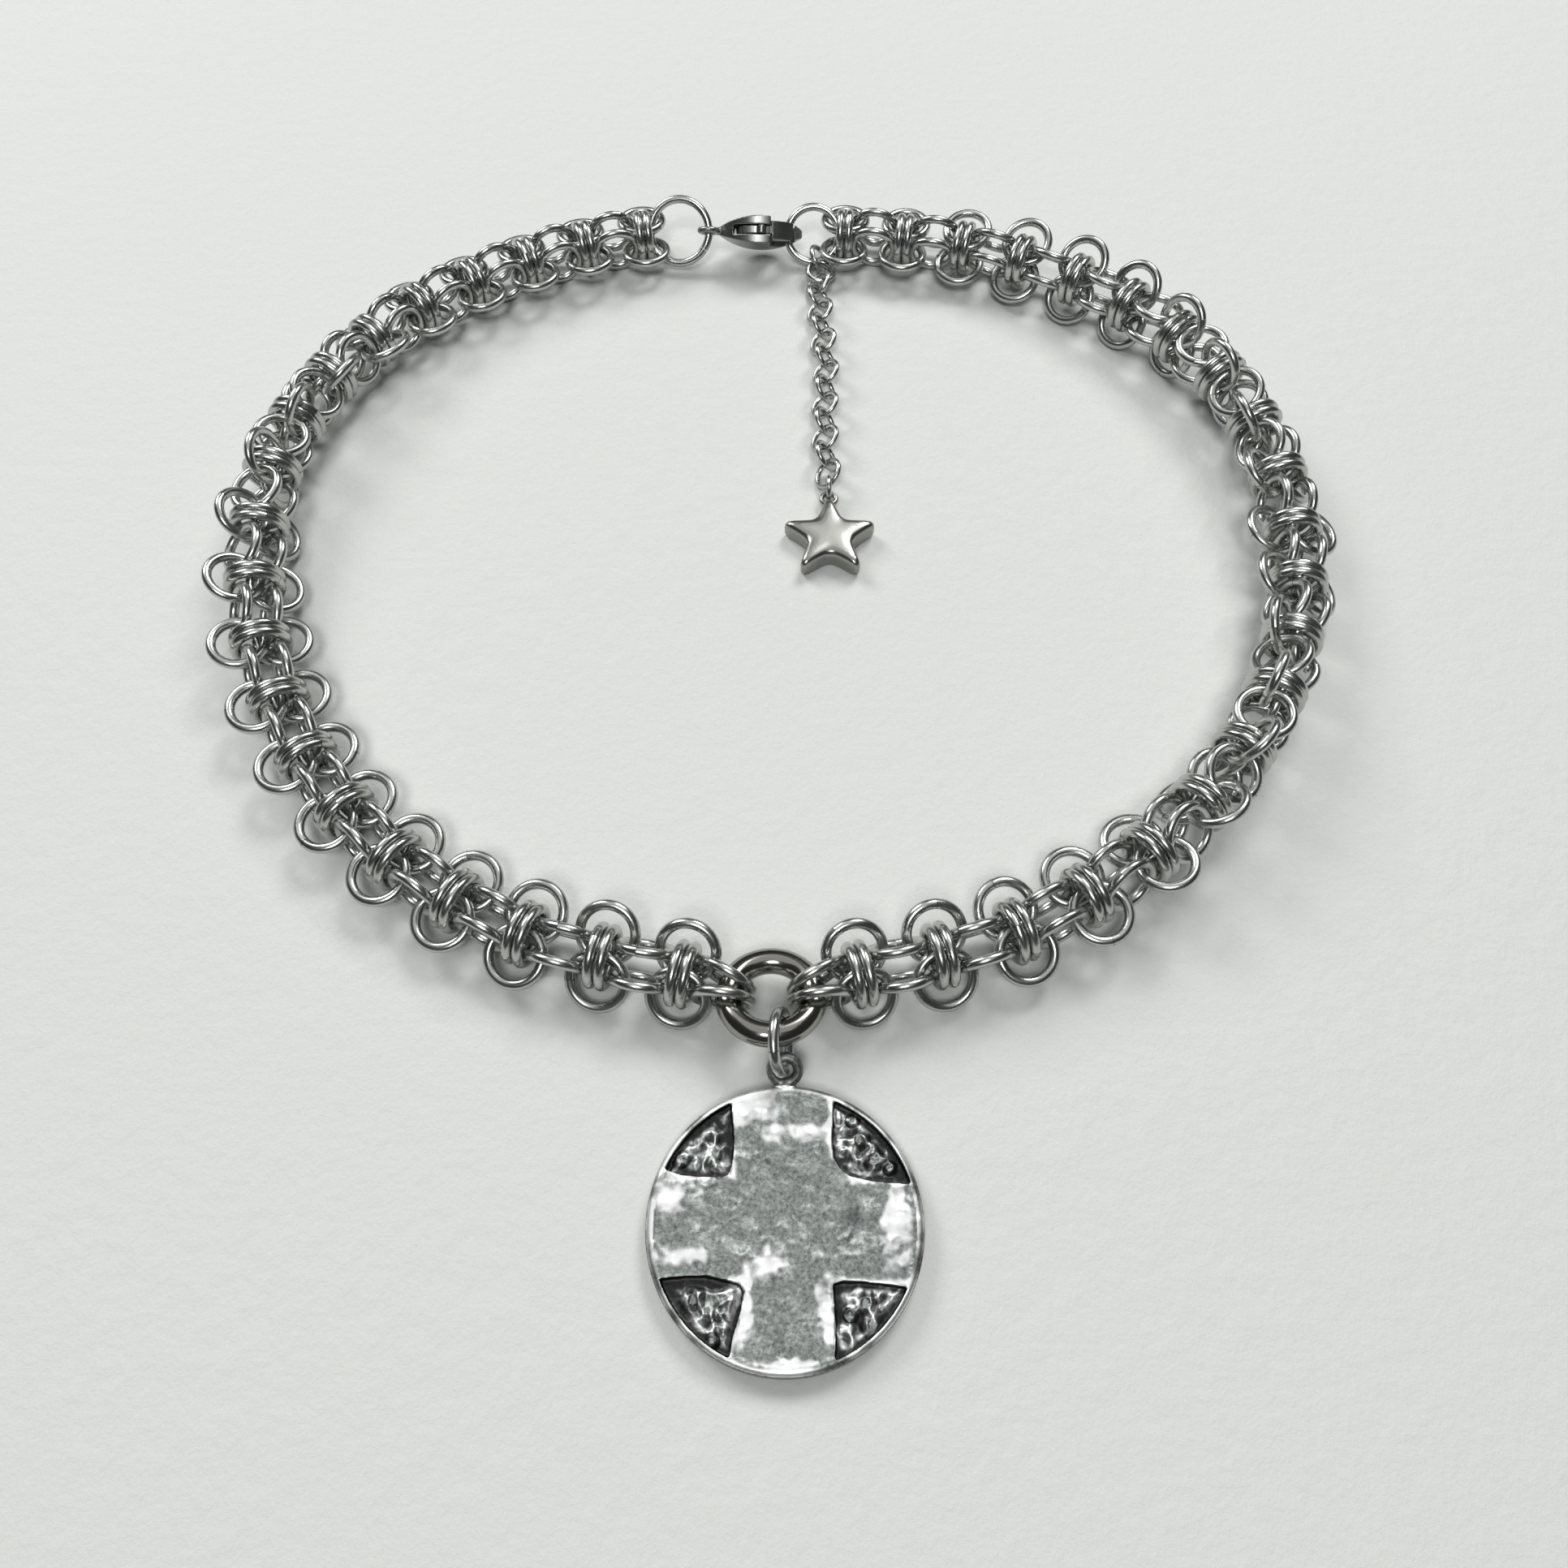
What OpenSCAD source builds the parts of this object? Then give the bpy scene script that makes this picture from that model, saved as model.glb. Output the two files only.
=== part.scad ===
// Chainmail choker of the barrel weave, lying closed on a flat surface.
// All sizes are in millimetres. The medallion points to -Y and the clasp lies at +Y.

/* [Woven chain] */
// Outer diameter of a woven jump ring
ring_od = 7.6; // [7.5:0.05:7.7]
// Wire diameter of a woven jump ring
wire_d = 1.18; // [1:0.02:1.2]
// Distance from one woven unit to the next along the chain
unit_pitch = 9.25; // [9.25:0.01:9.3]
// Half the distance between the two side rings of a unit
side_spread = 2.63; // [2.58:0.01:2.68]
// Half the height between the two side rings of a unit
side_lift = 0.68; // [0.64:0.01:0.72]
// Half the distance between the two core rings of a unit
core_gap = 0.66; // [0.65:0.01:0.68]
// Half the distance between the two rings that join neighbouring units
link_spread = 1.82; // [1.8:0.01:1.85]
// Half the height between the two joining rings
link_lift = 0.47; // [0.44:0.01:0.5]
// Lean of the joining rings in degrees
link_lean = 14.3; // [13:0.1:15]

/* [Chain layout] */
// Distance from the centre ring to the first woven unit
first_unit = 10.1; // [10:0.05:10.2]
// Side ring spread of the last unit, which holds one large ring
end_spread = 2.15; // [2.1:0.01:2.2]
// Side ring lift of the last unit
end_lift = 1.28; // [1.24:0.01:1.32]
// Most that a unit's height changes from one to the next
height_step = 0.5; // [0.4:0.05:0.6]

/* [Centre ring] */
// Ring radius to the middle of its bar
centre_r = 4.7; // [4.65:0.05:4.75]
// Bar diameter
centre_bar = 2.9; // [2.7:0.1:2.9]
// Tilt of the ring, front edge up, in degrees
centre_tilt = 14; // [12:1:16]

/* [Medallion] */
// Disc radius
medal_r = 14.3; // [13.5:0.1:14.5]
// Height of the raised cross above the back
medal_t = 2.6; // [2.4:0.1:2.8]
// Depth of the four sunk quarters
sunk = 0.9; // [0.5:0.1:1.1]
// Rim width outside the sunk quarters
rim_w = 0.65; // [0.4:0.05:1]
// Bail ring radius to the middle of its wire
bail_r = 1.45; // [1.4:0.05:1.5]
// Bail wire diameter
bail_d = 1.15; // [1:0.05:1.2]
// Upward lean of the bail in degrees
bail_lean = 39; // [36:1:42]

/* [Clasp] */
// Radius of the large ring before the clasp's eye
clasp_ring_r = 4.6; // [4.5:0.05:4.65]
// Radius of the ring that the hook takes
hook_ring_r = 4; // [3.95:0.05:4.05]
// Length of the clasp body without its eye
body_l = 13; // [12.8:0.1:13.2]
// Height of the clasp body, from its back to its lever side
body_h = 7.8; // [7.6:0.1:8]
// Thickness of the clasp body
body_t = 4; // [3.6:0.1:4.2]
// Thickness of the lever
lever_t = 1.1; // [0.9:0.05:1.2]
// Pivot pin diameter
pin_d = 0.8; // [0.7:0.05:0.9]
// Radial clearance round the pivot pin
pin_gap = 0.05; // [0.03:0.01:0.08]

/* [Extender and star] */
// Outer diameter of the extender's chain
extender_d = 4.2; // [3.8:0.1:4.4]
// Distance from the star's middle to a tip
star_r = 6.4; // [6:0.1:6.6]
// Distance from the star's middle to a dip between two tips
star_in = 3.5; // [3.1:0.1:3.7]
// Star thickness
star_t = 3; // [2.6:0.1:3.2]

/* [Hidden] */
// Middle of the whole necklace, which every place below is moved by
mid = [0.023, 19.295];
ring_r = (ring_od - wire_d) / 2;
wire_r = wire_d / 2;
// Lift that keeps the lowest jump rings on the surface
floor_lift = 0.03;

// Routes of the two chains from the centre ring to the clasp
route_left = [
    [-1.4, -26.8], [-11, -24.2], [-28.5, -19.5], [-45, -10], [-58, 4], [-66.5, 21], [-69.5, 39],
    [-67.5, 57], [-60, 73], [-48, 85.5], [-31, 94.5], [-13, 98], [-2, 97]
];
route_right = [
    [-1.4, -26.8], [8.2, -24.2], [25, -19.5], [41, -10.5], [54.5, 3], [63.5, 19], [67.5, 37.5],
    [65.5, 55.5], [58, 71], [46, 84], [29, 93.5], [10.5, 97], [2, 97]
];
// Roll of each woven unit about the chain, in degrees
roll_left = [
    135, 140, 158, 168, 172, 175, 180, 182, 190, 208,
    228, 254, 282, 310, 338, 352, 352, 352, 352, 352
];
roll_right = [
    135, 140, 158, 172, 192, 217, 245, 273, 301, 327, 342,
    322, 298, 274, 252, 234, 222, 208, 192, 178, 172
];
// Points per stretch between two route points
route_steps = 24;

// Smooth curve through the points of a route
function blend(a, b, c, d, t) =
    0.5 * (2 * b + (c - a) * t + (2 * a - 5 * b + 4 * c - d) * t * t + (3 * b - a - 3 * c + d) * t * t * t);
function padded(r) = concat([2 * r[0] - r[1]], r, [2 * r[len(r) - 1] - r[len(r) - 2]]);
function curve(r) = let (q = padded(r)) [
    for (i = [1 : len(q) - 3], k = [0 : route_steps - 1])
        blend(q[i - 1], q[i], q[i + 1], q[i + 2], k / route_steps)
];
function lengths(c) = [
    for (i = 0, s = 0; i < len(c); s = s + (i + 1 < len(c) ? norm(c[i + 1] - c[i]) : 0), i = i + 1) s
];
function track(c, axis) = let (s = lengths(c)) [for (i = [0 : len(c) - 1]) [s[i], c[i][axis]]];
function unit_of(v) = v / norm(v);

// Height of a unit's middle when its lowest ring touches the surface
function side_drop(roll) =
    abs(side_spread * sin(roll) + side_lift * cos(roll)) + ring_r * abs(sin(roll)) + wire_r;
function link_drop(roll) =
    abs(link_spread * sin(roll) + link_lift * cos(roll))
    + ring_r * sqrt(1 - pow(sin(roll + link_lean), 2)) + wire_r;
function rest_height(roll) = max(ring_r + wire_r, side_drop(roll), link_drop(roll)) + floor_lift;
function height(rolls, i) =
    max([for (j = [0 : len(rolls) - 1]) rest_height(rolls[j]) - height_step * abs(i - j)]);

// A unit is [middle, along, outward, upward]. Side is -1 on the left chain and 1 on the right.
function unit_frame(xs, ys, rolls, i, side) =
    let (
        n = len(rolls),
        s = first_unit + i * unit_pitch,
        ahead = [lookup(s + unit_pitch / 2, xs), lookup(s + unit_pitch / 2, ys)],
        behind = [lookup(s - unit_pitch / 2, xs), lookup(s - unit_pitch / 2, ys)],
        t = unit_of(ahead - behind),
        lo = max(i - 1, 0),
        hi = min(i + 1, n - 1),
        slope = (height(rolls, hi) - height(rolls, lo)) / ((hi - lo) * unit_pitch),
        along = unit_of([t.x, t.y, slope]),
        outer = [t.y, -t.x, 0] * side,
        up = cross(outer, along) * (cross(outer, along).z < 0 ? -1 : 1)
    )
    [
        [lookup(s, xs), lookup(s, ys), height(rolls, i)],
        along,
        cos(rolls[i]) * outer + sin(rolls[i]) * up,
        cos(rolls[i]) * up - sin(rolls[i]) * outer
    ];
function chain_units(route, rolls, side) =
    let (c = curve(route), xs = track(c, 0), ys = track(c, 1))
    [for (i = [0 : len(rolls) - 1]) unit_frame(xs, ys, rolls, i, side)];
function in_unit(u, v) = v.x * u[1] + v.y * u[2] + v.z * u[3];

// A ring is [middle, axis]
function side_ring(u, k, spread, lift) = [u[0] + k * (spread * u[2] + lift * u[3]), u[3]];
function core_ring(u, k) = [u[0] + k * core_gap * u[1], u[1]];
function link_end(u, k, way) = u[0] + k * (link_spread * u[2] + link_lift * u[3]) + way * ring_r * u[1];
function link_ring(u, v, k) =
    let (
        a = link_end(u, k, 1),
        b = link_end(v, k, -1),
        d = unit_of(b - a),
        m = unit_of(u[2] + v[2]),
        y = unit_of(m - (m * d) * d),
        z = cross(d, y) * (cross(d, y) * (u[3] + v[3]) < 0 ? -1 : 1)
    )
    [(a + b) / 2, cos(link_lean) * y + sin(link_lean) * z];
function placed_ring(u, place, axis) = [u[0] + in_unit(u, place), in_unit(u, axis)];

units_left = chain_units(route_left, roll_left, -1);
units_right = chain_units(route_right, roll_right, 1);
last_left = units_left[len(units_left) - 1];
last_right = units_right[len(units_right) - 1];

// Rings from the first unit through the centre ring: [middle, axis], both measured in the unit
front_links = [
    [[-4.61, 0.59, 0.88], [-0.25, 0.75, 0.61]],
    [[-4.84, -1.22, -0.95], [0.13, 0.75, 0.61]]
];
// Rings that end the chains, in the same form
clasp_ring_pose = placed_ring(last_left, [5.6, -0.8, 0.65], unit_of([0.24, 0.75, -0.62]));
hook_ring_pose = placed_ring(last_right, [4.9, 0, 0], unit_of([0, -0.79, 0.61]));

centre_at = [-1.4, -26.8, 4.4];
medal_at = [0.1, -50.3, 0];
pendant_ring_pose = [[-0.3, -32, 4.93], [0.967, -0.058, 0.248]];

// Puts a shape in the necklace's own frame
module settled() {
    translate([-mid.x, -mid.y, 0]) children();
}

module ring(pose, r, d) {
    a = unit_of(pose[1]);
    translate(pose[0])
        rotate([0, acos(a.z), atan2(a.y, a.x)])
            rotate_extrude($fn = 40)
                translate([r, 0])
                    circle(d = d, $fn = 16);
}

module jump_ring(pose) {
    ring(pose, ring_r, wire_d);
}

// One length of barrel weave: four rings a unit and two rings between neighbours
module woven_chain(units) {
    last = len(units) - 1;
    for (i = [0 : last]) {
        spread = i == last ? end_spread : side_spread;
        lift = i == last ? end_lift : side_lift;
        for (k = [-1, 1]) {
            jump_ring(side_ring(units[i], k, spread, lift));
            jump_ring(core_ring(units[i], k));
        }
    }
    for (i = [0 : last - 1], k = [-1, 1]) {
        jump_ring(link_ring(units[i], units[i + 1], k));
    }
    for (f = front_links) {
        jump_ring(placed_ring(units[0], f[0], f[1]));
    }
}

module chain_left() {
    color("silver") settled() woven_chain(units_left);
}

module chain_right() {
    color("silver") settled() woven_chain(units_right);
}

module center_ring() {
    color("gainsboro") settled()
        ring([centre_at, [0, sin(centre_tilt), cos(centre_tilt)]], centre_r, centre_bar);
}

module pendant_ring() {
    color("silver") settled() jump_ring(pendant_ring_pose);
}

module disc(r, t, edge) {
    translate([0, 0, edge]) cylinder(r = r, h = t - 2 * edge, $fn = 96);
    cylinder(r = r - edge, h = t, $fn = 96);
    for (z = [edge, t - edge]) {
        translate([0, 0, z])
            rotate_extrude($fn = 96)
                translate([r - edge, 0])
                    circle(r = edge, $fn = 20);
    }
}

// Ball that shows a round cap of width 2 * w and height h above its place
module cap(w, h) {
    r = (w * w + h * h) / (2 * h);
    translate([0, 0, h - r]) sphere(r = r, $fn = 64);
}

// Corners of the four sunk quarters, in disc radii, going round each one
quarters = [
    [
        [-0.4, 1.1], [-0.395, 0.8], [-0.37, 0.6], [-0.385, 0.42], [-0.41, 0.345], [-0.46, 0.325],
        [-0.6, 0.33], [-0.75, 0.34], [-0.9, 0.39], [-1.1, 0.42], [-1.1, 1.1]
    ],
    [
        [0.37, 1.1], [0.36, 0.8], [0.345, 0.6], [0.355, 0.47], [0.4, 0.385], [0.47, 0.335],
        [0.6, 0.305], [0.8, 0.285], [1.1, 0.27], [1.1, 1.1]
    ],
    [
        [-1.1, -0.37], [-0.9, -0.365], [-0.7, -0.345], [-0.55, -0.345], [-0.42, -0.375], [-0.32, -0.4],
        [-0.285, -0.45], [-0.31, -0.58], [-0.36, -0.75], [-0.39, -0.95], [-0.4, -1.1], [-1.1, -1.1]
    ],
    [
        [0.33, -0.4], [0.4, -0.38], [0.55, -0.385], [0.7, -0.4], [0.9, -0.425], [1.1, -0.43],
        [1.1, -1.1], [0.33, -1.1], [0.335, -0.9], [0.35, -0.7], [0.34, -0.5]
    ]
];
// Cast lumps in the quarters: [x, y, half width], in disc radii
lumps = [
    [-0.68, 0.56, 0.1], [-0.54, 0.62, 0.08], [-0.56, 0.46, 0.08], [-0.76, 0.46, 0.07],
    [0.54, 0.6, 0.1], [0.65, 0.46, 0.1], [0.76, 0.4, 0.06], [0.5, 0.74, 0.06],
    [-0.64, -0.5, 0.1], [-0.52, -0.62, 0.09], [-0.64, -0.65, 0.08], [-0.5, -0.76, 0.06],
    [0.56, -0.52, 0.1], [0.6, -0.66, 0.1], [0.45, -0.6, 0.06], [0.48, -0.77, 0.07]
];
// Hammer dents on the cross: [x, y, half width], in disc radii
dents = [
    [-0.1, 0.7, 0.16], [0.16, 0.5, 0.15], [-0.2, 0.36, 0.14], [0.62, 0.02, 0.17], [-0.62, 0.06, 0.16],
    [0.02, 0.04, 0.2], [-0.3, -0.08, 0.14], [0.3, -0.12, 0.14], [0.02, -0.48, 0.17], [0.04, -0.78, 0.13]
];
lump_h = 0.5;
dent_h = 0.12;
medal_edge = 0.7;
// Middle of the bail wire where it meets the rim: height, and distance outside the rim
bail_root_z = 2.02;
bail_root_out = 0.4;
bail_neck = [0, -0.3, -0.3];
bail_neck_r = 0.9;

module pendant() {
    field = medal_t - sunk;
    color("darkgray") settled() translate(medal_at) {
        difference() {
            disc(medal_r, medal_t, medal_edge);
            for (q = quarters) {
                intersection() {
                    translate([0, 0, field]) cylinder(r = medal_r - rim_w, h = sunk + 1, $fn = 96);
                    translate([0, 0, field]) linear_extrude(sunk + 1) polygon(q * medal_r);
                }
            }
            for (d = dents) {
                translate([d.x * medal_r, d.y * medal_r, medal_t])
                    mirror([0, 0, 1])
                        cap(d.z * medal_r, dent_h);
            }
        }
        for (l = lumps) {
            translate([l.x * medal_r, l.y * medal_r, field]) intersection() {
                cap(l.z * medal_r, lump_h);
                translate([0, 0, -0.4]) cylinder(r = l.z * medal_r, h = 1, $fn = 32);
            }
        }
        translate([0, medal_r + bail_root_out, bail_root_z]) {
            ring(
                [[0, bail_r * cos(bail_lean), bail_r * sin(bail_lean)], [0, -sin(bail_lean), cos(bail_lean)]],
                bail_r, bail_d
            );
            translate(bail_neck) sphere(r = bail_neck_r, $fn = 32);
        }
    }
}

module clasp_ring() {
    color("silver") settled() ring(clasp_ring_pose, clasp_ring_r, wire_d);
}

module extender_ring() {
    color("silver") settled() ring(hook_ring_pose, hook_ring_r, wire_d);
}

// Point of a ring's wire on its +X side (way 1) or its -X side (way -1)
function wire_point(pose, r, way) =
    let (n = unit_of(pose[1])) pose[0] + way * r * unit_of([1, 0, 0] - n.x * n);
eye_at = wire_point(clasp_ring_pose, clasp_ring_r, 1);
seat_at = wire_point(hook_ring_pose, hook_ring_r, -1);
clasp_way = unit_of(seat_at - eye_at);
// Turn of the clasp about its length, so that its eye takes the ring squarely
clasp_turn = 43.8;

// The clasp's own frame: X from the eye to the tip, Z towards the lever, the body's middle at 0
eye_x = -8;
eye_r = 1.35;
eye_d = 0.9;
seat = [4.25, 0, -0.85];
hole_at = [3.55, 0, -0.3];
hole_r = 1.8;
pivot_at = [-2.8, 0, 1.2];
tip_at = [4.5, 0, 2];
slot_w = lever_t + 0.3;
slot_x = -4.3;
gate_x = [1.4, 5.15];
slot_floor = -0.1;
boss_r = 1;
tip_r = 0.45;
arm_h = 1;
gate_lever_w = 2.6;
gate_gap = 0.2;
lever_sunk = 0.35;
nub = [1.2, 0, 3.7];
// Radius of the arc over a chord with the given rise
function arc_r(half, rise) = (half * half + rise * rise) / (2 * rise);

module clasp_frame() {
    settled()
        translate(eye_at)
            rotate([0, -asin(clasp_way.z), atan2(clasp_way.y, clasp_way.x)])
                rotate([clasp_turn, 0, 0])
                    rotate([0, -atan2(-seat.z, seat.x - eye_x), 0])
                        translate([-eye_x, 0, 0])
                            children();
}

module along_y(at, r, l) {
    translate([at.x, l / 2, at.z]) rotate([90, 0, 0]) cylinder(r = r, h = l, $fn = 64);
}

module lens_body() {
    side_r = arc_r(body_l / 2, body_h / 2);
    plan_r = arc_r(body_l / 2 + 1, body_t / 2);
    intersection() {
        along_y([0, 0, body_h / 2 - side_r], side_r, 2 * body_t);
        along_y([0, 0, side_r - body_h / 2], side_r, 2 * body_t);
        translate([0, body_t / 2 - plan_r, -body_h]) cylinder(r = plan_r, h = 2 * body_h, $fn = 128);
        translate([0, plan_r - body_t / 2, -body_h]) cylinder(r = plan_r, h = 2 * body_h, $fn = 128);
    }
}

module clasp_body() {
    color("lightgray") clasp_frame() {
        difference() {
            lens_body();
            along_y(hole_at, hole_r, 2 * body_t);
            translate([gate_x[0], -body_t, slot_floor])
                cube([gate_x[1] - gate_x[0], 2 * body_t, body_h]);
            translate([slot_x, -slot_w / 2, slot_floor])
                cube([gate_x[0] - slot_x + 1, slot_w, body_h]);
        }
        along_y(pivot_at, pin_d / 2, slot_w + 1);
        ring([[eye_x, 0, 0], [0, 1, 0]], eye_r, eye_d);
        translate([eye_x + eye_r - 0.1, 0, 0]) rotate([0, 90, 0]) cylinder(r = 0.6, h = 1.6, $fn = 32);
    }
}

module clasp_lever() {
    arm = tip_at - pivot_at;
    color("gray") clasp_frame() {
        difference() {
            union() {
                along_y(pivot_at, boss_r, lever_t);
                intersection() {
                    translate([0, 0, -lever_sunk]) lens_body();
                    translate(pivot_at)
                        rotate([0, -atan2(arm.z, arm.x), 0])
                            translate([0, -lever_t / 2, -arm_h / 2])
                                cube([norm(arm), lever_t, body_h]);
                }
                intersection() {
                    lens_body();
                    translate([gate_x[0] + gate_gap, -gate_lever_w / 2, 0])
                        cube([gate_x[1] - gate_x[0] - 2 * gate_gap, gate_lever_w, body_h]);
                    translate(tip_at)
                        rotate([0, -atan2(arm.z, arm.x), 0])
                            translate([-body_l, -body_t, -tip_r])
                                cube([2 * body_l, 2 * body_t, body_h]);
                }
                translate([-nub.x / 2, -lever_t / 2, tip_at.z - arm_h])
                    cube([nub.x, lever_t, nub.z - tip_at.z + arm_h]);
                along_y([0, 0, nub.z], nub.x / 2, lever_t);
            }
            along_y(pivot_at, pin_d / 2 + pin_gap, 2 * lever_t);
        }
    }
}

// Route of the extender from the ring to the star: [x, y, z of the middle, radius in extender_d]
extender_route = [
    [4.6, 93.3, 1.3, 0.22], [4.8, 91.5, 1.6, 0.32], [5.2, 89.4, 2.1, 0.5], [5.8, 86, 2.1, 0.5],
    [5.6, 80, 2.1, 0.5], [6.3, 71.5, 2.1, 0.5], [5.9, 63, 2.1, 0.5], [5.8, 55, 2.1, 0.5],
    [6.2, 51, 1.9, 0.42], [6.2, 49.8, 1.6, 0.3]
];
extender_sides = 10;
extender_steps = 3;

function smooth(r) = let (q = padded(r)) concat([
    for (i = [1 : len(q) - 3], k = [0 : extender_steps - 1])
        blend(q[i - 1], q[i], q[i + 1], q[i + 2], k / extender_steps)
], [r[len(r) - 1]]);
// One ring of points across the route at point i
function section(c, i) =
    let (
        lo = c[max(i - 1, 0)],
        hi = c[min(i + 1, len(c) - 1)],
        t = unit_of([hi.x - lo.x, hi.y - lo.y, 0]),
        r = c[i][3] * extender_d
    )
    [
        for (a = [0 : 360 / extender_sides : 359])
            [c[i].x, c[i].y, c[i].z] + r * (cos(a) * [t.y, -t.x, 0] + sin(a) * [0, 0, 1])
    ];

// Solid through rows of points, each row going round clockwise as seen from the next one
module skinned(rows) {
    n = len(rows[0]);
    last = len(rows) - 1;
    points = [for (row = rows) each row];
    sides = [
        for (i = [0 : last - 1], j = [0 : n - 1])
            [i * n + j, i * n + (j + 1) % n, (i + 1) * n + (j + 1) % n, (i + 1) * n + j]
    ];
    ends = [[for (j = [n - 1 : -1 : 0]) j], [for (j = [0 : n - 1]) last * n + j]];
    polyhedron(points = points, faces = concat(sides, ends), convexity = 4);
}

module extender_chain() {
    c = smooth(extender_route);
    color("silver") settled() skinned([for (i = [0 : len(c) - 1]) section(c, i)]);
}

// Middle of the star, its loop and the ring on the loop
star_at = [6.2, 39.2, 0];
loop_r = 1;
loop_d = 0.7;
loop_y = star_r + loop_r - loop_d / 2;
loop_z = 1.4;
star_ring_r = 1.5;
// Outline from a tip to a dip: [degrees from the tip, share of the way out from dip to tip]
star_edge = [
    [0, 1], [2, 0.985], [4, 0.93], [7, 0.75], [10, 0.57], [15, 0.345], [20, 0.185], [26, 0.058],
    [31, 0.016], [36, 0]
];
// Domed front down to the flat back: [share of the thickness, share of the outline]
star_levels = [
    [1, 0.1], [0.998, 0.45], [0.99, 0.66], [0.965, 0.8], [0.92, 0.89], [0.84, 0.955],
    [0.74, 0.99], [0.62, 1], [0.25, 1], [0.1, 0.98], [0, 0.93]
];
// Turns of the outline's points within one arm
arm_turns = [for (i = [1 - len(star_edge) : len(star_edge) - 2]) sign(i) * star_edge[abs(i)][0]];

// Outline of the star at one level
function star_row(level) = [
    for (arm = [18 : 72 : 306], turn = arm_turns)
        let (r = level[1] * (star_in + (star_r - star_in) * lookup(abs(turn), star_edge)))
        [r * cos(arm + turn), r * sin(arm + turn), level[0] * star_t]
];

module star_charm() {
    color("gainsboro") settled() translate(star_at) {
        skinned([for (level = star_levels) star_row(level)]);
        ring([[0, loop_y, loop_z], [0, 0, 1]], loop_r, loop_d);
    }
}

module star_ring() {
    color("silver") settled()
        ring(
            [star_at + [0, loop_y + star_ring_r, star_ring_r + loop_d / 2], [1, 0, 0]],
            star_ring_r, loop_d
        );
}

chain_left();
chain_right();
center_ring();
pendant_ring();
pendant();
clasp_ring();
clasp_body();
clasp_lever();
extender_ring();
extender_chain();
star_ring();
star_charm();
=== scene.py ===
import math
import random

import bmesh
import bpy
import numpy as np
from mathutils import Matrix, Vector, noise


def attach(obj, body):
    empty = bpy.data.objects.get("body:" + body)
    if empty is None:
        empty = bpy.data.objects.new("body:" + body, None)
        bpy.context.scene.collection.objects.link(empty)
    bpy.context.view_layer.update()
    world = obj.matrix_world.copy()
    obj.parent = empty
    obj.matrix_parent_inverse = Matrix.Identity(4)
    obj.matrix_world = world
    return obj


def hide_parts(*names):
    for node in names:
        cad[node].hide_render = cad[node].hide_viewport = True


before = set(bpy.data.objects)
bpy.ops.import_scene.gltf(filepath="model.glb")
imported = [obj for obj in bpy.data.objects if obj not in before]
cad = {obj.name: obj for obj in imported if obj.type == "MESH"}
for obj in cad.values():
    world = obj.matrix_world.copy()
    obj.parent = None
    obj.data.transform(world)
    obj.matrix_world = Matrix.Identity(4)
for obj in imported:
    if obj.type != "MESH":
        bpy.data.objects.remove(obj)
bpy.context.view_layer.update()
mm = 0.001
chokerBody = "choker"
leverBody = "lever"
random.seed(11)


def deselectAll():
    for obj in list(bpy.context.selected_objects):
        obj.select_set(False)


def makeActive(obj):
    deselectAll()
    obj.select_set(True)
    bpy.context.view_layer.objects.active = obj


deselectAll()

# Camera above the front of the choker, lengths in metres
viewSettings = {
    "lens": 29.35,
    "sensor": 36,
    "clip": (0.005, 10),
    "pitch": 61.5,
    "distance": 0.15307,
    "aim": (-0.000023, -0.019295, 0.0038),
}
pitch = math.radians(viewSettings["pitch"])
aimX, aimY, aimZ = viewSettings["aim"]
bpy.ops.object.camera_add(
    location=(
        aimX,
        aimY - math.cos(pitch) * viewSettings["distance"],
        aimZ + math.sin(pitch) * viewSettings["distance"],
    ),
    rotation=(math.pi / 2 - pitch, 0, 0),
)
camera = bpy.context.object
camera.name = "photo_camera"
camera.data.lens = viewSettings["lens"]
camera.data.sensor_width = viewSettings["sensor"]
camera.data.clip_start, camera.data.clip_end = viewSettings["clip"]
bpy.context.scene.camera = camera
bpy.context.scene.view_settings.view_transform = "Standard"
print("camera placed")


# Steel finishes, which share one node group for smears and grain
def newMaterial(name):
    mat = bpy.data.materials.new(name)
    mat.use_nodes = True
    tree = mat.node_tree
    return mat, tree, tree.nodes["Principled BSDF"]


def addNode(tree, kind, **values):
    node = tree.nodes.new(kind)
    for key, value in values.items():
        if hasattr(node, key):
            setattr(node, key, value)
        else:
            node.inputs[key.replace("_", " ")].default_value = value
    return node


def addBump(tree, shader, height, strength, distance):
    bump = addNode(tree, "ShaderNodeBump", Strength=strength, Distance=distance)
    tree.links.new(height, bump.inputs["Height"])
    tree.links.new(bump.outputs["Normal"], shader.inputs["Normal"])


wearSettings = {
    "smearScale": 420.0,
    "smearDetail": 3.0,
    "grainScale": 5200.0,
    "grainDetail": 2.0,
    "grainStrength": 0.35,
}


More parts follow.
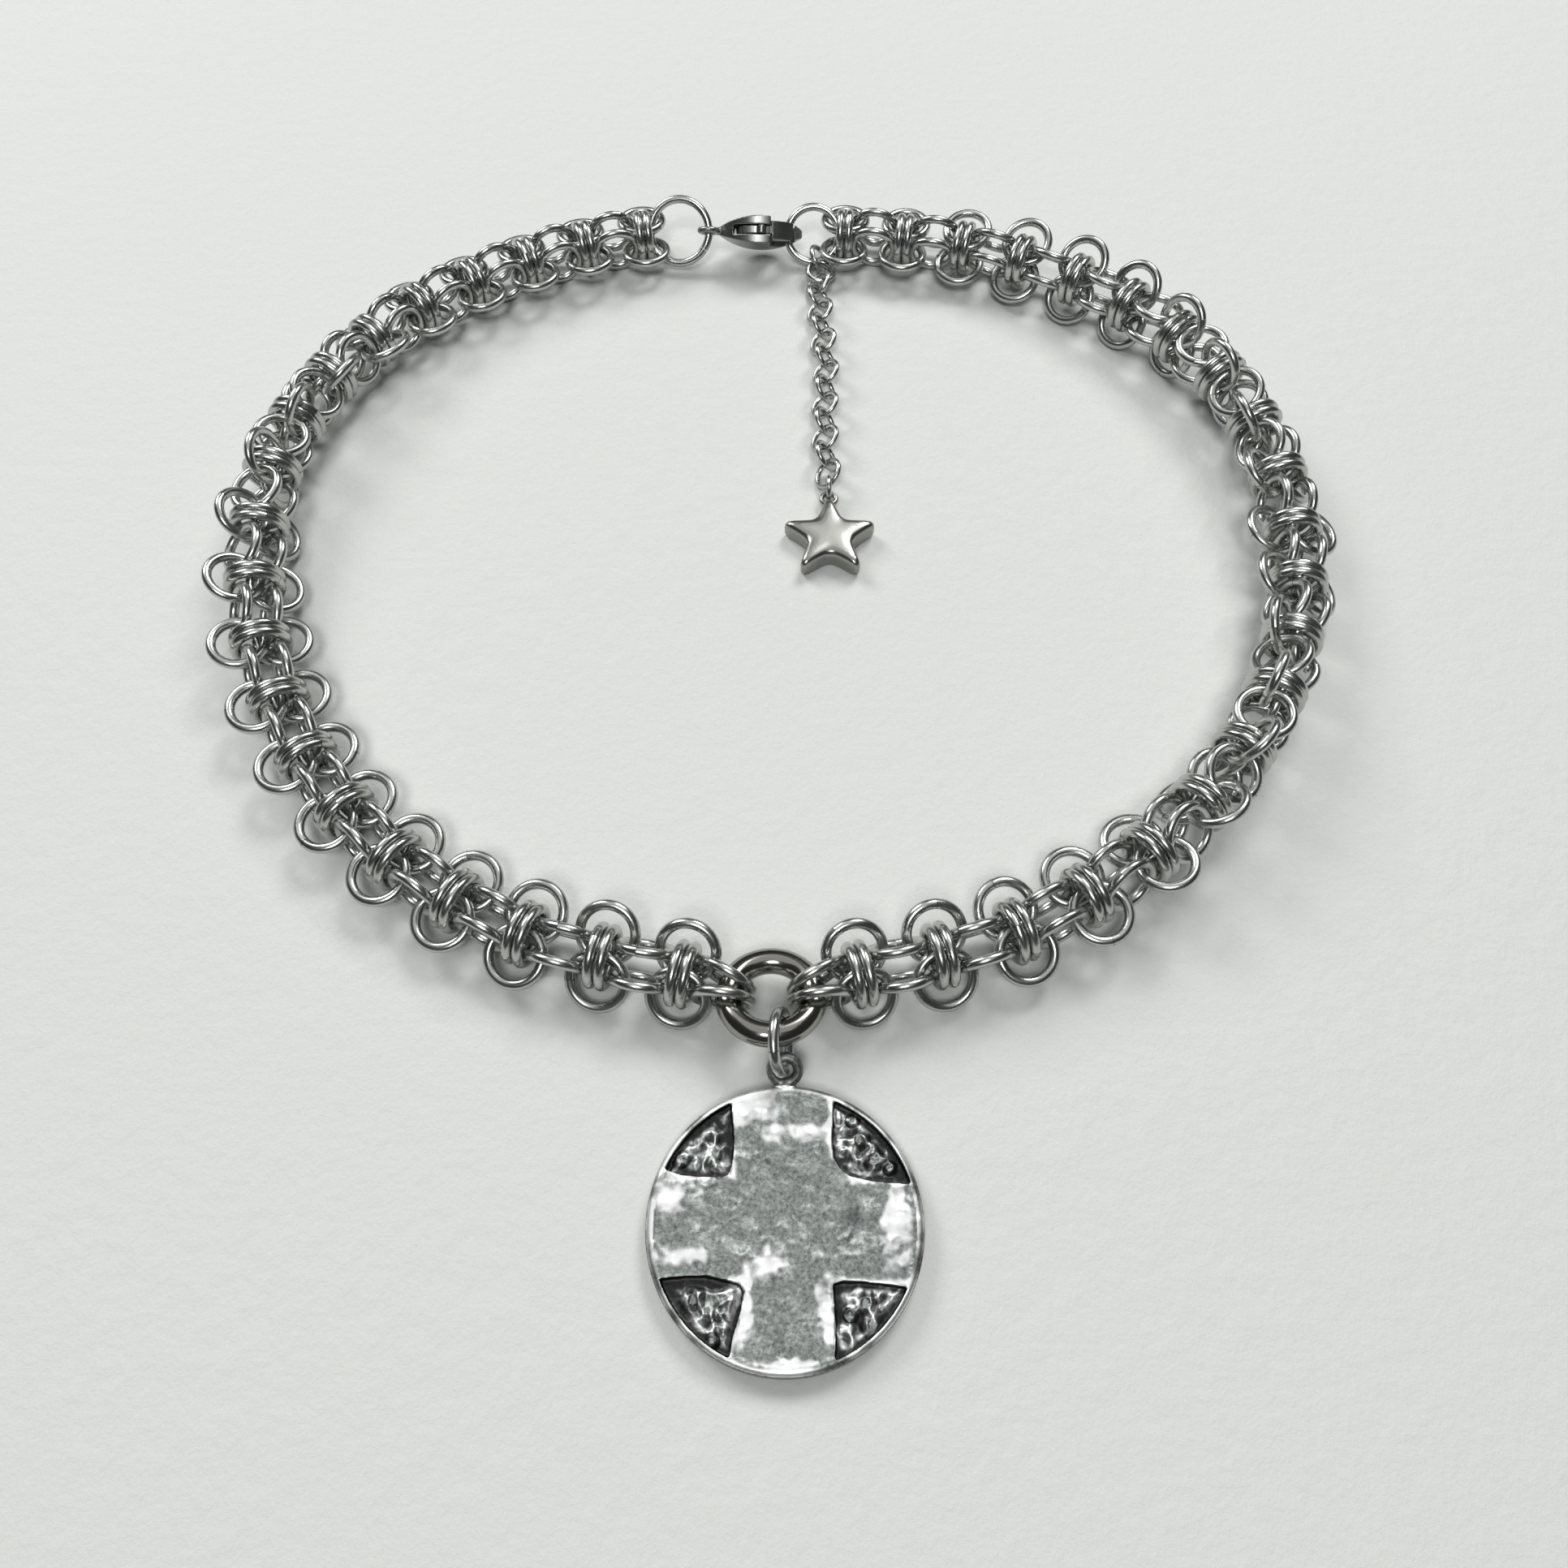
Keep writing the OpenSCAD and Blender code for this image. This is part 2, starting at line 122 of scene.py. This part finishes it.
def wearGroup():
    group = bpy.data.node_groups.new("wireWear", "ShaderNodeTree")
    for way, names in (("INPUT", ("Rough", "Spread")), ("OUTPUT", ("Roughness", "Height"))):
        for name in names:
            group.interface.new_socket(name, in_out=way, socket_type="NodeSocketFloat")
    inside = group.nodes.new("NodeGroupInput")
    outside = group.nodes.new("NodeGroupOutput")
    place = group.nodes.new("ShaderNodeTexCoord")
    smears = addNode(
        group,
        "ShaderNodeTexNoise",
        Scale=wearSettings["smearScale"],
        Detail=wearSettings["smearDetail"],
    )
    grain = addNode(
        group,
        "ShaderNodeTexNoise",
        Scale=wearSettings["grainScale"],
        Detail=wearSettings["grainDetail"],
    )
    amount = addNode(group, "ShaderNodeMath", operation="MULTIPLY_ADD")
    link = group.links.new
    link(place.outputs["Object"], smears.inputs["Vector"])
    link(place.outputs["Object"], grain.inputs["Vector"])
    link(smears.outputs["Fac"], amount.inputs[0])
    link(inside.outputs["Spread"], amount.inputs[1])
    link(inside.outputs["Rough"], amount.inputs[2])
    link(amount.outputs[0], outside.inputs["Roughness"])
    link(grain.outputs["Fac"], outside.inputs["Height"])
    return group


wear = wearGroup()


def steelMaterial(name, color, rough, spread, grainDepth):
    mat, tree, shader = newMaterial(name)
    shader.inputs["Base Color"].default_value = (*color, 1)
    shader.inputs["Metallic"].default_value = 1
    finish = tree.nodes.new("ShaderNodeGroup")
    finish.node_tree = wear
    finish.inputs["Rough"].default_value = rough
    finish.inputs["Spread"].default_value = spread
    tree.links.new(finish.outputs["Roughness"], shader.inputs["Roughness"])
    addBump(tree, shader, finish.outputs["Height"], wearSettings["grainStrength"], grainDepth)
    return mat


# Colour, least roughness, how much smears add to it, depth of the grain in metres
ringSteel = steelMaterial("ring_steel", (0.50, 0.51, 0.49), 0.17, 0.18, 0.000012)
barSteel = steelMaterial("bar_steel", (0.33, 0.325, 0.30), 0.11, 0.12, 0.000008)
claspSteel = steelMaterial("clasp_steel", (0.27, 0.28, 0.27), 0.27, 0.16, 0.000008)
linkSteel = steelMaterial("link_steel", (0.47, 0.475, 0.46), 0.17, 0.16, 0.00001)
starSteel = steelMaterial("star_polish", (0.33, 0.33, 0.31), 0.24, 0.10, 0.000003)
print("steel finishes made")


# Where each ring lies, read from the loose parts of its node
def loosePoints(nodeName):
    weldStep = 0.0000005
    mesh = cad[nodeName].data
    points = np.empty(len(mesh.vertices) * 3)
    mesh.vertices.foreach_get("co", points)
    points = points.reshape(-1, 3)
    edges = np.empty(len(mesh.edges) * 2, dtype=np.int64)
    mesh.edges.foreach_get("vertices", edges)
    grid = np.round(points / weldStep).astype(np.int64)
    _, first, same = np.unique(grid, axis=0, return_index=True, return_inverse=True)
    starts, ends = same.reshape(-1)[edges].reshape(-1, 2).T
    label = np.arange(len(first))
    while True:
        lower = np.minimum(label[starts], label[ends])
        fresh = label.copy()
        np.minimum.at(fresh, starts, lower)
        np.minimum.at(fresh, ends, lower)
        fresh = fresh[fresh]
        if np.array_equal(fresh, label):
            break
        label = fresh
    points = points[first]
    order = np.argsort(label, kind="stable")
    splits = np.flatnonzero(np.diff(label[order])) + 1
    return [points[part] for part in np.split(order, splits)]


def ringPlaces(nodeName):
    places = []
    for points in loosePoints(nodeName):
        middle = points.mean(axis=0)
        axis = np.linalg.svd(points - middle, full_matrices=False)[2][2]
        flat = points - middle - np.outer((points - middle) @ axis, axis)
        reach = np.linalg.norm(flat, axis=1)
        places.append((Vector(middle), Vector(axis), (reach.max() + reach.min()) / 2))
    return places


# One ring, with a cut and ends that are shifted sideways where its settings give a cut
def openRing(ring, radius, setting, shift):
    step = 2 * math.pi / setting["roundSteps"]
    turn = (step - setting["cut"] / radius) / 2
    work = bmesh.new()
    work.from_mesh(ring.data)
    gone = []
    for face in work.faces:
        middle = face.calc_center_median()
        if 0 < math.atan2(middle.y, middle.x) < step:
            gone.append(face)
    bmesh.ops.delete(work, geom=gone, context="FACES")
    ends = [edge for edge in work.edges if edge.is_boundary]
    for vert in {vert for edge in ends for vert in edge.verts}:
        side = 1 if math.atan2(vert.co.y, vert.co.x) < step / 2 else -1
        vert.co = Matrix.Rotation(turn * side, 3, "Z") @ vert.co
        vert.co.z += shift * mm / 2 * side
    bmesh.ops.holes_fill(work, edges=ends)
    bmesh.ops.recalc_face_normals(work, faces=work.faces)
    work.to_mesh(ring.data)
    work.free()


def makeRing(radius, setting, shift):
    smoothAngle = 50
    deselectAll()
    bpy.ops.mesh.primitive_torus_add(
        major_segments=setting["roundSteps"],
        minor_segments=setting["wireSteps"],
        major_radius=radius * mm,
        minor_radius=setting["wire"] / 2 * mm,
    )
    ring = bpy.context.object
    if setting["cut"]:
        openRing(ring, radius, setting, shift)
    makeActive(ring)
    bpy.ops.object.shade_smooth_by_angle(angle=math.radians(smoothAngle))
    return ring


def placeRings(name, masters, places, material):
    pieces = []
    for middle, axis, _ in places:
        master = random.choice(masters)
        piece = bpy.data.objects.new(name, master.data.copy())
        bpy.context.collection.objects.link(piece)
        spin = Matrix.Rotation(random.uniform(0, 2 * math.pi), 4, "Z")
        turn = axis.to_track_quat("Z", "Y").to_matrix().to_4x4() @ spin
        piece.matrix_world = Matrix.Translation(middle) @ turn
        pieces.append(piece)
    for master in masters:
        bpy.data.objects.remove(master)
    deselectAll()
    for piece in pieces:
        piece.select_set(True)
    bpy.context.view_layer.objects.active = pieces[0]
    if len(pieces) > 1:
        bpy.ops.object.join()
    bpy.ops.object.transform_apply(location=True, rotation=True, scale=True)
    whole = bpy.context.object
    whole.name = name
    whole.data.materials.clear()
    whole.data.materials.append(material)
    return whole


def finishPiece(piece, node, body=chokerBody):
    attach(piece, body)
    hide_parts(node)


# Woven rings of both chains, lengths in millimetres
ringSettings = {
    "wire": 1.24,
    "wireSteps": 12,
    "roundSteps": 42,
    "cut": 0.06,
    "cutShifts": (0.0, 0.03, -0.045, 0.06),
}
for side in ("chain_left", "chain_right"):
    places = ringPlaces(side)
    radius = places[0][2] / mm
    masters = [makeRing(radius, ringSettings, shift) for shift in ringSettings["cutShifts"]]
    woven = placeRings("woven_" + side, masters, places, ringSteel)
    finishPiece(woven, side)
    print(side, len(places), "rings", round(radius, 3))

# Single rings: the plain centre ring, the jump rings and the star's ring
jumpRing = {"wire": 1.22, "cut": 0.06, "roundSteps": 64, "wireSteps": 16, "material": ringSteel}
singleRings = {
    "center_ring": {"wire": 2.9, "cut": 0.0, "roundSteps": 96, "wireSteps": 32, "material": barSteel},
    "pendant_ring": jumpRing,
    "clasp_ring": jumpRing,
    "extender_ring": jumpRing,
    "star_ring": {"wire": 0.7, "cut": 0.06, "roundSteps": 48, "wireSteps": 12, "material": linkSteel},
}
singleShift = 0.02
for node, setting in singleRings.items():
    places = ringPlaces(node)
    master = makeRing(places[0][2] / mm, setting, singleShift)
    single = placeRings("smooth_" + node, [master], places, setting["material"])
    finishPiece(single, node)
print("single rings done")


# Extender chain of small links, lengths in millimetres and leans in degrees
extenderSettings = {
    "radius": 2.0,
    "wire": 0.78,
    "wireSteps": 12,
    "roundSteps": 36,
    "cut": 0.07,
    "cutShift": 0.02,
    "pitch": 3.08,
    "height": 1.83,
    "lean": 45,
    "extraLean": 8,
    "extraHeight": 0.15,
}
extenderRoute = [
    (5.3, 85.84), (5.6, 80.0), (6.2, 71.5), (5.9, 63.0), (5.8, 55.0), (6.15, 50.5),
]
# Links by the extender ring: x, y, height, then lean and the way it leans, in radians
firstLinks = [
    (5.64, 94.39, 1.94, 0.86, -0.01),
    (5.67, 91.58, 1.83, 0.12, -0.61),
    (5.30, 88.92, 1.82, 0.75, 3.14),
]
# The part's zero point, measured as the route and the first links are
partShift = Vector((0.023, 19.295, 0))


def routePoint(route, distance):
    for start, end in zip(route, route[1:]):
        here, there = Vector((*start, 0)), Vector((*end, 0))
        span = (there - here).length
        if distance <= span or end == route[-1]:
            return here + (there - here) * (distance / span), (there - here).normalized()
        distance -= span


linkPlaces = []
for x, y, z, lean, way in firstLinks:
    flat = math.sin(lean)
    axis = Vector((flat * math.cos(way), flat * math.sin(way), math.cos(lean)))
    middle = (Vector((x, y, z)) - partShift) * mm
    linkPlaces.append((middle, axis, extenderSettings["radius"] * mm))
routeLength = sum(math.dist(start, end) for start, end in zip(extenderRoute, extenderRoute[1:]))
linkCount = round(routeLength / extenderSettings["pitch"]) + 1
for index in range(linkCount):
    point, along = routePoint(extenderRoute, index * routeLength / (linkCount - 1))
    side = 1 if index % 2 == 0 else -1
    inner = min(index, linkCount - 1 - index, 1)  # 0 for the route's two end links
    lean = math.radians(extenderSettings["lean"] * side + extenderSettings["extraLean"] * inner)
    height = extenderSettings["height"] + extenderSettings["extraHeight"] * inner
    across = Vector((along.y, -along.x, 0))
    axis = across * math.sin(-lean) + Vector((0, 0, 1)) * math.cos(lean)
    middle = (point + Vector((0, 0, height)) - partShift) * mm
    linkPlaces.append((middle, axis, extenderSettings["radius"] * mm))
smallLink = makeRing(extenderSettings["radius"], extenderSettings, extenderSettings["cutShift"])
extender = placeRings("extender_links", [smallLink], linkPlaces, linkSteel)
finishPiece(extender, "extender_chain")
print("extender", len(linkPlaces), "links")


# Clasp and star, rounded from their solids
def nodeCopy(node, name):
    piece = bpy.data.objects.new(name, cad[node].data.copy())
    bpy.context.collection.objects.link(piece)
    piece.data.materials.clear()
    makeActive(piece)
    bpy.ops.object.mode_set(mode="EDIT")
    bpy.ops.mesh.select_all(action="SELECT")
    bpy.ops.mesh.remove_doubles(threshold=0.000001)
    bpy.ops.object.mode_set(mode="OBJECT")
    return piece


def remesh(piece, setting):
    makeActive(piece)
    grid = piece.modifiers.new("grid", "REMESH")
    grid.mode = "VOXEL"
    grid.voxel_size = setting["voxel"] * mm
    grid.use_smooth_shade = True
    soft = piece.modifiers.new("soft", "SMOOTH")
    soft.iterations = setting["smooth"]
    soft.factor = 0.5
    for modifier in ("grid", "soft"):
        bpy.ops.object.modifier_apply(modifier=modifier)


claspPieces = {
    "clasp_body": {"voxel": 0.11, "smooth": 3, "body": chokerBody},
    "clasp_lever": {"voxel": 0.07, "smooth": 3, "body": leverBody},
}
for node, setting in claspPieces.items():
    piece = nodeCopy(node, "polished_" + node)
    remesh(piece, setting)
    piece.data.materials.append(claspSteel)
    finishPiece(piece, node, setting["body"])
    print(node, len(piece.data.polygons), "faces")

starSettings = {"voxel": 0.09, "smooth": 9}
star = nodeCopy("star_charm", "puffed_star")
remesh(star, starSettings)
star.data.materials.append(starSteel)
finishPiece(star, "star_charm")
print("star", len(star.data.polygons), "faces")


# Cast medallion: middle in metres, edges in shares of the radius, other lengths in millimetres
medalSettings = {
    "voxel": 0.15,
    "smooth": 2,
    "middle": (0.000077, -0.069595),
    "radius": 14.3,
    "top": 2.6,
    "faceFrom": 0.9,
    "faceEdge": 0.995,
    "sunkFrom": 0.45,
    "sunkEdge": 0.95,
    "wallDepth": (0.3, 1.1),
    "wallEdge": 0.955,
    "wallPaintedShade": 0.07,
    "levelFace": 0.5,  # a face of the cross points up more than this
    "steepWall": 0.75,  # a wall of the quarters points up less than this
}
# Layers of noise on the cast surface: scale for a millimetre, and shift
castNoise = {
    "fine": (1.15, (0.0, 0.0, 0.0)),
    "coarse": (0.42, (3.1, 7.7, 1.3)),
    "ridge": (0.78, (9.2, 1.4, 5.5)),
    "swirl": (0.27, (4.4, 2.6, 8.1)),
}
swirlBend = 0.9
# Sunk quarters: shares of the radius from the middle to the cross's upright and to its arm
quarterEdges = {
    "upper": {"left": (0.385, 0.335), "right": (0.35, 0.31)},
    "lower": {"left": (0.28, 0.37), "right": (0.335, 0.395)},
}
quarterWaver = 0.02
cornerCut = {"reach": 0.80, "slope": 0.7}
footFlare = {"width": 0.12, "start": 0.45, "length": 0.5}
# Ground of the quarters: lumps in millimetres, moat and rim in shares of the radius; outline and
# crest values set painted highlights
groundSettings = {
    "lumps": 0.45,
    "moat": 0.075,
    "moatStart": 0.02,
    "moatRim": 0.93,
    "moatWaver": 0.5,
    "knobLevel": 0.55,
    "knobFine": 0.9,
    "knobRidge": 0.5,
    "knobRidgeFrom": 0.6,
    "darkest": 0.05,
    "darkIsland": 1.2,
    "darkKnob": 2.2,
    "outlineAt": 0.55,
    "outlineWidth": 0.4,
    "outlineGlow": 0.8,
    "glowLevel": 0.5,
    "glowCoarse": 2.5,
    "crestFrom": 0.7,
    "crestGlow": 2.6,
}
# Raised face: hammer in millimetres, edge width and where the rim starts in shares of the radius;
# shine, patch and rim shine set painted highlights
faceSettings = {
    "hammer": 0.30,
    "hammerLevel": 0.25,
    "dentCoarse": 0.7,
    "dentSwirl": 0.9,
    "dentPits": 0.3,
    "rimFrom": 0.93,
    "rimHammer": 0.4,
    "edgeWidth": 0.05,
    "edgeShine": 0.9,
    "shineLevel": 0.75,
    "shineCoarse": 2,
    "patch": 0.85,
    "patchCoarse": 0.7,
    "patchFine": 0.5,
    "patchRidge": 0.25,
    "patchRidgeFrom": 0.7,
    "rimShineFrom": 0.94,
    "rimShine": 0.6,
}
# Places painted bright as highlights: u, v, half width, half height
highlightSpots = [
    (-0.24, 0.84, 0.20, 0.11),
    (0.12, 0.66, 0.24, 0.07),
    (-0.84, 0.22, 0.17, 0.11),
    (-0.78, -0.22, 0.20, 0.07),
    (0.78, 0.02, 0.09, 0.26),
    (0.84, -0.24, 0.13, 0.08),
    (-0.14, -0.26, 0.14, 0.11),
    (-0.29, -0.66, 0.05, 0.27),
    (0.29, -0.66, 0.05, 0.27),
    (0.0, -0.91, 0.34, 0.05),
]
highlightSpotLevel = 1.15
highlightSpotFade = 0.75


def smoothStep(value):
    value = min(1, max(0, value))
    return value * value * (3 - 2 * value)


def inQuarter(u, v):
    row = "upper" if v > 0 else "lower"
    side = "right" if u > 0 else "left"
    uprightEdge, armEdge = quarterEdges[row][side]
    across = abs(u) - uprightEdge
    along = abs(v) - armEdge
    if (row, side) == ("upper", "right"):
        return min(across, along, (u + v - cornerCut["reach"]) * cornerCut["slope"])
    if (row, side) == ("lower", "left"):
        down = min(1, max(0, abs(v) - footFlare["start"]))
        across -= footFlare["width"] * down / footFlare["length"]
    return min(across, along)


def highlightSpotShare(u, v):
    return max(
        highlightSpotLevel - math.hypot((u - spotU) / halfWidth, (v - spotV) / halfHeight) * highlightSpotFade
        for spotU, spotV, halfWidth, halfHeight in highlightSpots
    )


def noiseAt(point, layer):
    scale, start = castNoise[layer]
    return noise.noise(point * scale + Vector(start))


def castLayers(point):
    fine = noiseAt(point, "fine")
    coarse = noiseAt(point, "coarse")
    ridge = 1 - abs(noiseAt(point, "ridge")) * 2
    swirl = noiseAt(point + Vector((coarse, fine, 0)) * swirlBend, "swirl")
    return {"fine": fine, "coarse": coarse, "ridge": ridge, "swirl": swirl}


def sunkGround(quarter, radial, layers):
    ground = groundSettings
    coarse, ridge = layers["coarse"], layers["ridge"]
    inside = min(quarter - ground["moatStart"], ground["moatRim"] - radial)
    island = inside / ground["moat"] + coarse * ground["moatWaver"]
    knob = ground["knobLevel"] + layers["fine"] * ground["knobFine"]
    knob += (ridge - ground["knobRidgeFrom"]) * ground["knobRidge"]
    lift = smoothStep(island) * min(1, max(0, knob)) * ground["lumps"]
    raised = smoothStep(island * ground["darkIsland"]) * smoothStep(knob * ground["darkKnob"])
    dark = ground["darkest"] + (1 - ground["darkest"]) * raised
    # Painted highlights along the islands' outlines and on the ridge crests
    outline = max(0, 1 - abs(island - ground["outlineAt"]) / ground["outlineWidth"])
    glow = smoothStep(ground["glowLevel"] + coarse * ground["glowCoarse"])
    bright = ground["outlineGlow"] * outline * glow
    bright += max(0, ridge - ground["crestFrom"]) * ground["crestGlow"]
    return lift, dark, bright


def raisedFace(u, v, quarter, radial, layers):
    face = faceSettings
    fine, coarse = layers["fine"], layers["coarse"]
    dent = coarse * face["dentCoarse"] + layers["swirl"] * face["dentSwirl"]
    dent += max(0, -fine) * face["dentPits"]
    lift = (dent - face["hammerLevel"]) * face["hammer"]
    if radial >= face["rimFrom"]:
        lift *= face["rimHammer"]
    # Painted highlights: the face's edges, bright patches at the listed spots, and the rim
    edge = max(0, 1 - abs(quarter) / face["edgeWidth"])
    shine = smoothStep(face["shineLevel"] + coarse * face["shineCoarse"])
    patch = smoothStep(
        highlightSpotShare(u, v)
        + face["patchCoarse"] * coarse
        + face["patchFine"] * fine
        + face["patchRidge"] * (layers["ridge"] - face["patchRidgeFrom"])
    )
    bright = min(1, face["edgeShine"] * edge * shine + face["patch"] * patch)
    if radial > face["rimShineFrom"]:
        bright = max(bright, face["rimShine"] + coarse)
    return lift, bright


medal = nodeCopy("pendant", "cast_medallion")
remesh(medal, medalSettings)
tone = medal.data.attributes.new("castTone", "FLOAT", "POINT")
shine = medal.data.attributes.new("castPaintedHighlight", "FLOAT", "POINT")
places = np.empty(len(medal.data.vertices) * 3)
medal.data.vertices.foreach_get("co", places)
places = places.reshape(-1, 3)
slopes = np.empty(len(places) * 3)
medal.data.vertices.foreach_get("normal", slopes)
slopes = slopes.reshape(-1, 3)[:, 2]
wallTop, wallFoot = medalSettings["wallDepth"]
tones = []
shines = []
for index, up in enumerate(slopes):
    x, y, z = (places[index] - (*medalSettings["middle"], 0)) / mm
    u, v = x / medalSettings["radius"], y / medalSettings["radius"]
    radial = math.hypot(u, v)
    layers = castLayers(Vector((x, y, 0)))
    depth = medalSettings["top"] - z
    dark, bright = 1.0, 0.0
    if z > medalSettings["faceFrom"] and radial < medalSettings["faceEdge"]:
        quarter = inQuarter(u, v) + layers["fine"] * quarterWaver
        if depth > medalSettings["sunkFrom"] and radial < medalSettings["sunkEdge"]:
            lift, dark, bright = sunkGround(quarter, radial, layers)
            places[index, 2] += lift * mm
        elif up > medalSettings["levelFace"]:
            lift, bright = raisedFace(u, v, quarter, radial, layers)
            places[index, 2] += lift * mm
    # Steep walls of the sunk quarters are painted near black: a painted shade
    steep = up < medalSettings["steepWall"]
    if steep and wallTop < depth < wallFoot and radial < medalSettings["wallEdge"]:
        dark, bright = medalSettings["wallPaintedShade"], 0.0
    tones.append(dark)
    shines.append(bright)
places[:, 2] = np.maximum(places[:, 2], 0)
medal.data.vertices.foreach_set("co", places.ravel())
tone.data.foreach_set("value", tones)
shine.data.foreach_set("value", shines)
medal.data.update()

# Antiqued finish: specked grey, with painted highlights clouded in, and near black in the deeps,
# which on the quarters' walls is painted shade
castFinish = {
    "speckScale": 2600.0,
    "speckRange": (0.34, 0.68),
    "speckDark": (0.10, 0.113, 0.107, 1),
    "speckLight": (0.39, 0.415, 0.40, 1),
    "cloudScale": 420.0,
    "cloudShare": 0.95,
    "highlightRange": (0.50, 1.30),
    "highlightColor": (0.86, 0.875, 0.865, 1),
    "deepColor": (0.018, 0.018, 0.018, 1),
    "roughness": 0.34,
    "roughSpread": 0.20,
    "grainStrength": 0.5,
    "grainDepth": 0.00004,
}
castMetal, castTree, castShader = newMaterial("antique_cast")
castShader.inputs["Metallic"].default_value = 1
toneIn = addNode(castTree, "ShaderNodeAttribute", attribute_name="castTone")
shineIn = addNode(castTree, "ShaderNodeAttribute", attribute_name="castPaintedHighlight")
castPlace = castTree.nodes.new("ShaderNodeTexCoord")
speck = addNode(
    castTree, "ShaderNodeTexNoise", Scale=castFinish["speckScale"], Detail=6.0, Roughness=0.75
)
cloud = addNode(
    castTree, "ShaderNodeTexNoise", Scale=castFinish["cloudScale"], Detail=5.0, Roughness=0.7
)
speckRamp = castTree.nodes.new("ShaderNodeValToRGB")
for stop, position, color in zip(
    speckRamp.color_ramp.elements,
    castFinish["speckRange"],
    (castFinish["speckDark"], castFinish["speckLight"]),
):
    stop.position = position
    stop.color = color
glowSum = addNode(castTree, "ShaderNodeMath", operation="MULTIPLY_ADD")
glowSum.inputs[1].default_value = castFinish["cloudShare"]
glowEdge = addNode(castTree, "ShaderNodeMapRange", interpolation_type="SMOOTHSTEP")
glowEdge.inputs["From Min"].default_value = castFinish["highlightRange"][0]
glowEdge.inputs["From Max"].default_value = castFinish["highlightRange"][1]
# Mixes in the painted highlights carried by the shine attribute
brightMix = addNode(castTree, "ShaderNodeMix", data_type="RGBA")
brightMix.inputs[7].default_value = castFinish["highlightColor"]
darkMix = addNode(castTree, "ShaderNodeMix", data_type="RGBA")
darkMix.inputs[6].default_value = castFinish["deepColor"]
roughAdd = addNode(castTree, "ShaderNodeMath", operation="MULTIPLY_ADD")
roughAdd.inputs[1].default_value = castFinish["roughSpread"]
roughAdd.inputs[2].default_value = castFinish["roughness"]
for output, socket in (
    (castPlace.outputs["Object"], speck.inputs["Vector"]),
    (castPlace.outputs["Object"], cloud.inputs["Vector"]),
    (speck.outputs["Fac"], speckRamp.inputs["Fac"]),
    (cloud.outputs["Fac"], glowSum.inputs[0]),
    (shineIn.outputs["Fac"], glowSum.inputs[2]),
    (glowSum.outputs[0], glowEdge.inputs["Value"]),
    (glowEdge.outputs["Result"], brightMix.inputs[0]),
    (speckRamp.outputs["Color"], brightMix.inputs[6]),
    (toneIn.outputs["Fac"], darkMix.inputs[0]),
    (brightMix.outputs[2], darkMix.inputs[7]),
    (darkMix.outputs[2], castShader.inputs["Base Color"]),
    (cloud.outputs["Fac"], roughAdd.inputs[0]),
    (roughAdd.outputs[0], castShader.inputs["Roughness"]),
):
    castTree.links.new(output, socket)
addBump(
    castTree,
    castShader,
    speck.outputs["Fac"],
    castFinish["grainStrength"],
    castFinish["grainDepth"],
)
medal.data.materials.append(castMetal)
finishPiece(medal, "pendant")
print("medallion", len(medal.data.polygons), "faces")


# Paper floor and studio light, lengths in metres
studioSettings = {
    "floorSize": 8.0,
    "floorColor": (0.67, 0.685, 0.66, 1),
    "floorRoughness": 0.75,
    "fibreScale": 300.0,
    "fibreStrength": 0.8,
    "fibreDepth": 0.00035,
    "world": 0.045,
}
deselectAll()
bpy.ops.mesh.primitive_plane_add(size=studioSettings["floorSize"])
floor = bpy.context.object
floor.name = "paper_floor"
paper, paperTree, paperShader = newMaterial("paper")
paperShader.inputs["Base Color"].default_value = studioSettings["floorColor"]
paperShader.inputs["Roughness"].default_value = studioSettings["floorRoughness"]
paperPlace = paperTree.nodes.new("ShaderNodeTexCoord")
fibres = addNode(
    paperTree, "ShaderNodeTexNoise", Scale=studioSettings["fibreScale"], Detail=6.0, Roughness=0.7
)
paperTree.links.new(paperPlace.outputs["Object"], fibres.inputs["Vector"])
addBump(
    paperTree,
    paperShader,
    fibres.outputs["Fac"],
    studioSettings["fibreStrength"],
    studioSettings["fibreDepth"],
)
floor.data.materials.append(paper)

world = bpy.data.worlds.new("studio")
bpy.context.scene.world = world
world.use_nodes = True
background = world.node_tree.nodes["Background"]
background.inputs["Color"].default_value = (1, 1, 1, 1)
background.inputs["Strength"].default_value = studioSettings["world"]

lamps = {
    "front_lamp": {"place": (-0.09, -0.75, 1.36), "size": 0.46, "power": 8.7},
    "window_lamp": {"place": (0.44, 0.84, 1.01), "size": 0.48, "power": 8.7},
    "back_lamp": {"place": (-0.79, 0.79, 0.84), "size": 0.53, "power": 8.7},
    "ceiling_lamp": {"place": (0.0, 0.55, 2.09), "size": 2.2, "power": 9.2},
}
for name, lamp in lamps.items():
    bpy.ops.object.light_add(type="AREA", location=lamp["place"])
    light = bpy.context.object
    light.name = name
    light.data.shape = "SQUARE"
    light.data.size = lamp["size"]
    light.data.energy = lamp["power"]
    light.rotation_euler = (-Vector(lamp["place"])).to_track_quat("-Z", "Y").to_euler()
print("studio ready")
